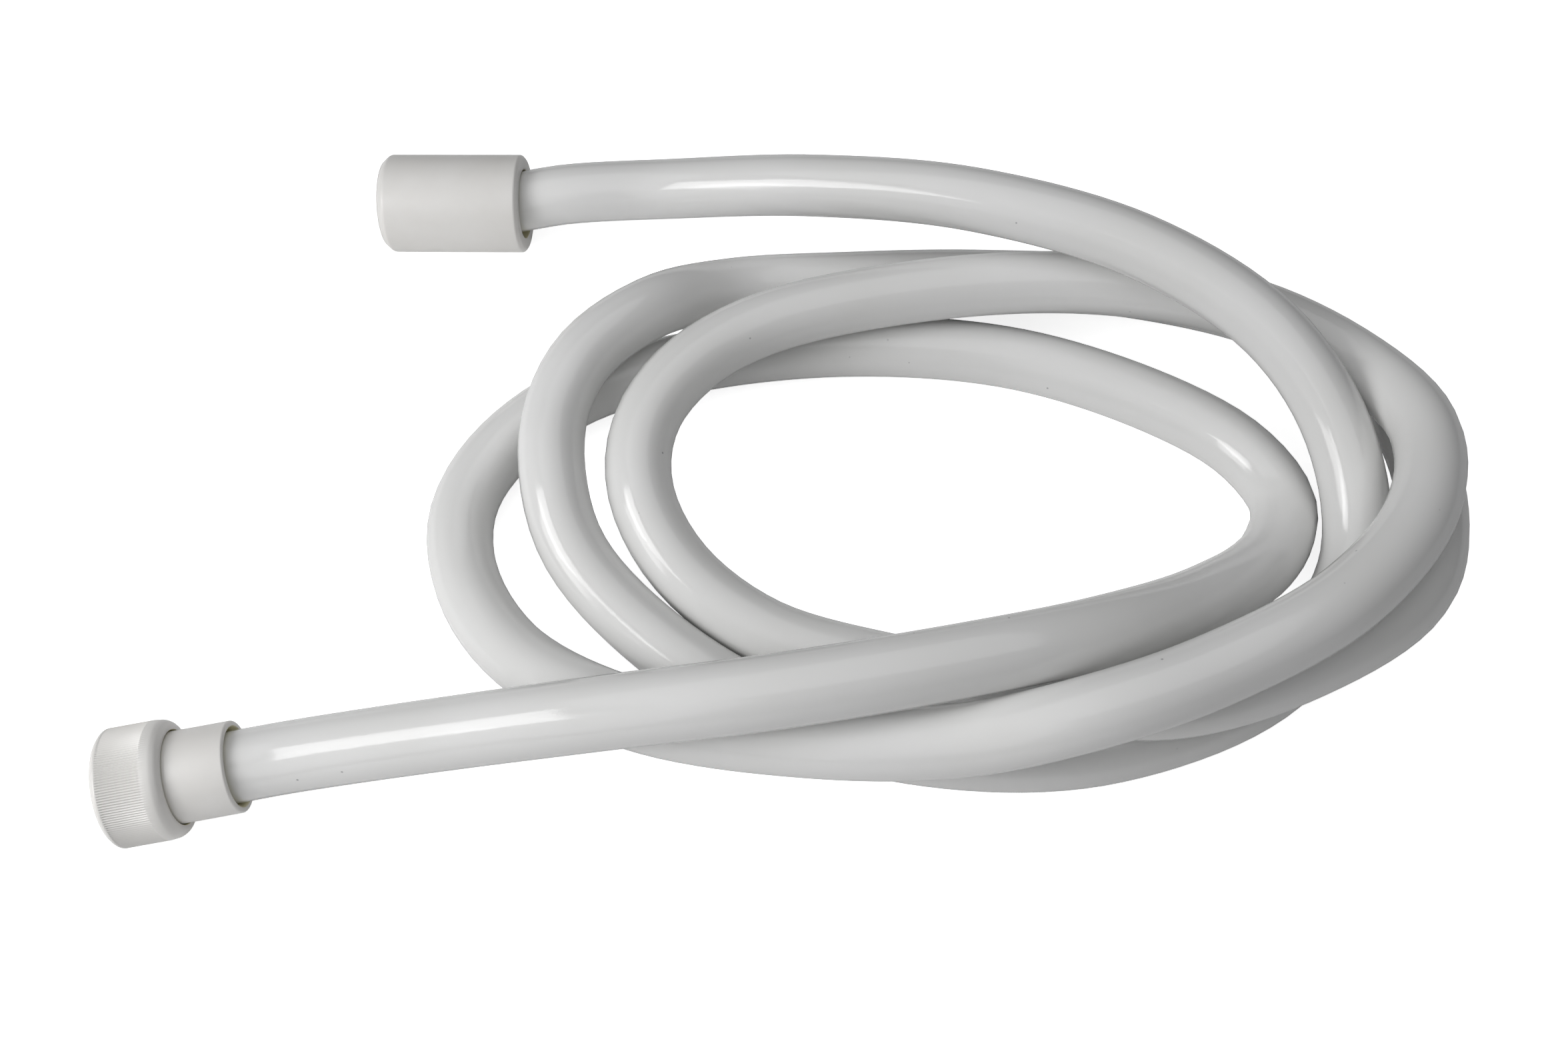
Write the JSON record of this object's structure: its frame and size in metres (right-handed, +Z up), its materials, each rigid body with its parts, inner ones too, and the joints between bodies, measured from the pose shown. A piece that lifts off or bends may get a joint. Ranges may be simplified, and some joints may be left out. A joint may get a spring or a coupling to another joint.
{
  "type": "shower hose",
  "caption": "Smooth white plastic shower hose lying in a loose coil, with a short knurled screw nut at its tap end and a long plain screw nut at its handset end.",
  "frame": {"origin": "on the surface the hose lies on, below the middle of the box round the two end fittings", "axes": "+Z up, +Y from the tap end's fitting to the handset end's fitting, +X from the fittings towards the coil"},
  "size_m": [0.293, 0.1849, 0.0484],
  "materials": {
    "hose_white": "glossy white, with a faint orange-peel surface",
    "nut_white": "satin, slightly warm white",
    "tailpiece_brass": "turned, semi-bright",
    "washer_rubber": "matt black"
  },
  "bodies": {
    "hose": {"hose_tube": "hose_white", "tap_ferrule": "nut_white", "tap_tailpiece": "tailpiece_brass", "tap_washer": "washer_rubber", "handset_ferrule": "nut_white", "handset_tailpiece": "tailpiece_brass", "handset_washer": "washer_rubber"},
    "tap_nut": {"knurled_nut": "nut_white"},
    "handset_nut": {"long_nut": "nut_white"}
  },
  "joints": [
    {"name": "tap_nut_turn", "type": "hinge", "parent": "hose", "child": "tap_nut", "pos_m": [-0.0355, -0.08, 0.01236], "axis": [0.9839, 0.1558, 0.0872], "continuous": true},
    {"name": "handset_nut_turn", "type": "hinge", "parent": "hose", "child": "handset_nut", "pos_m": [0.0015, 0.0805, 0.01219], "axis": [0.9988, -0.0349, 0.0349], "continuous": true}
  ]
}
